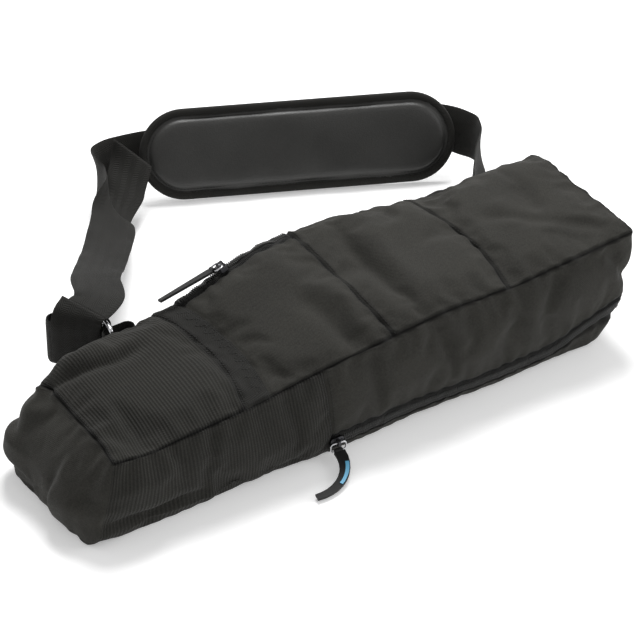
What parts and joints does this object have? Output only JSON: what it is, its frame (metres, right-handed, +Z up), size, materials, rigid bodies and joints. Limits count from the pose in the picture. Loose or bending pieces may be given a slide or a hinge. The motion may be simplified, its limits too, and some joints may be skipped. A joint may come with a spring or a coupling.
{
  "type": "telescope carry case",
  "caption": "Soft padded carry case for a small telescope, with a zipped folding lid, an outer pocket and a shoulder strap with a padded shoulder rest.",
  "frame": {"origin": "centre of the flat base, on the floor the case lies on", "axes": "+X along the case from its foot end to its wider head end; +Y across it, towards the side the shoulder strap lies on; +Z up"},
  "size_m": [0.6881, 0.5799, 0.1501],
  "materials": {
    "outer_fabric": "matte woven nylon",
    "ribbed_fabric": "matte ribbed nylon",
    "webbing": "woven webbing",
    "foam_lining": "foam with brushed lining",
    "zipper_tape": "coil zipper on woven tape",
    "neoprene": "fine knit over neoprene",
    "grip_rubber": "matte grip",
    "steel": "polished",
    "slider_metal": "gunmetal",
    "pull_rubber": "satin",
    "pull_label": "gloss"
  },
  "bodies": {
    "case": {"base_foam": "foam_lining", "base_panel": "outer_fabric", "foot_end_panel": "outer_fabric", "foot_foam": "foam_lining", "head_foam_lower": "foam_lining", "hinge_foam_far": "foam_lining", "hinge_foam_near": "foam_lining", "hinge_foam_top": "foam_lining", "hinge_gusset_far": "outer_fabric", "hinge_gusset_near": "outer_fabric", "hinge_panel": "outer_fabric", "lower_gusset_far": "outer_fabric", "lower_gusset_head": "outer_fabric", "lower_gusset_near": "outer_fabric", "pocket_panel": "outer_fabric", "pocket_zipper": "zipper_tape", "sleeve_foam_far": "foam_lining", "sleeve_foam_near": "foam_lining", "sleeve_foam_top": "foam_lining", "sleeve_side_far": "ribbed_fabric", "sleeve_side_near": "ribbed_fabric", "sleeve_top_panel": "ribbed_fabric", "strap_end_left": "webbing", "strap_loop_left": "webbing", "strap_loop_right": "webbing", "strap_ring_left": "steel", "strap_ring_right": "steel", "strap_tab_left": "webbing", "strap_tab_right": "webbing", "top_webbing_band": "webbing", "zipper_lower_far": "zipper_tape", "zipper_lower_head": "zipper_tape", "zipper_lower_near": "zipper_tape"},
    "lid": {"lid_mid_panel": "outer_fabric", "lid_head_panel": "outer_fabric", "upper_gusset_near": "outer_fabric", "upper_gusset_far": "outer_fabric", "upper_gusset_head": "outer_fabric", "zipper_upper_near": "zipper_tape", "zipper_upper_far": "zipper_tape", "zipper_upper_head": "zipper_tape", "lid_foam_top": "foam_lining", "lid_foam_near": "foam_lining", "lid_foam_far": "foam_lining", "head_foam_upper": "foam_lining"},
    "main_slider": {"main_slider": "slider_metal"},
    "main_ring": {"main_ring": "steel"},
    "main_pull": {"main_pull": "pull_rubber", "main_pull_label": "pull_label"},
    "pocket_slider": {"pocket_slider": "slider_metal"},
    "pocket_ring": {"pocket_ring": "steel"},
    "pocket_pull": {"pocket_pull": "pull_rubber"},
    "strap": {"strap_left": "webbing", "strap_right": "webbing", "strap_tail": "webbing"},
    "pad": {"pad_front": "neoprene", "pad_core": "foam_lining", "pad_back": "grip_rubber", "pad_binding": "webbing", "pad_sleeve": "webbing"}
  },
  "joints": [
    {"name": "lid_open", "type": "hinge", "parent": "case", "child": "lid", "pos_m": [-0.0805, 0.001, 0.019], "axis": [0.103, -0.9947, 0], "range_deg": [0, 20], "deforming": ["hinge_panel", "hinge_gusset_near", "hinge_gusset_far", "hinge_foam_top", "hinge_foam_near", "hinge_foam_far", "pocket_panel", "pocket_zipper"]},
    {"name": "main_zip_slide", "type": "slide", "parent": "case", "child": "main_slider", "axis": [0.9998, -0.0196, 0], "range_m": [0, 0.25]},
    {"name": "main_ring_swing", "type": "hinge", "parent": "main_slider", "child": "main_ring", "pos_m": [-0.06686, -0.08937, 0.019], "axis": [-0.9943, 0.1067, 0], "range_deg": [0, 50]},
    {"name": "main_pull_swing", "type": "hinge", "parent": "main_ring", "child": "main_pull", "pos_m": [-0.06686, -0.08937, 0.0098], "axis": [-0.9943, 0.1067, 0], "range_deg": [0, 45]},
    {"name": "pocket_zip_slide", "type": "slide", "parent": "case", "child": "pocket_slider", "axis": [0.9517, 0.0276, 0.3057], "range_m": [-0.035, 0.02]},
    {"name": "pocket_ring_swing", "type": "hinge", "parent": "pocket_slider", "child": "pocket_ring", "pos_m": [-0.09116, 0.0797, 0.14074], "axis": [0.0905, 0.9264, -0.3654], "range_deg": [0, 100]},
    {"name": "pocket_pull_swing", "type": "hinge", "parent": "pocket_ring", "child": "pocket_pull", "pos_m": [-0.09991, 0.07944, 0.13792], "axis": [0.0905, 0.9264, -0.3654], "range_deg": [0, 60]},
    {"name": "strap_swing", "type": "hinge", "parent": "case", "child": "strap", "pos_m": [-0.2142, 0.1281, 0.11], "axis": [0.9735, 0.0272, -0.227], "range_deg": [0, 40], "deforming": ["strap_left", "strap_right", "strap_tail"]},
    {"name": "pad_slide", "type": "slide", "parent": "strap", "child": "pad", "axis": [0.898, -0.44, 0], "range_m": [-0.012, 0.012]}
  ]
}
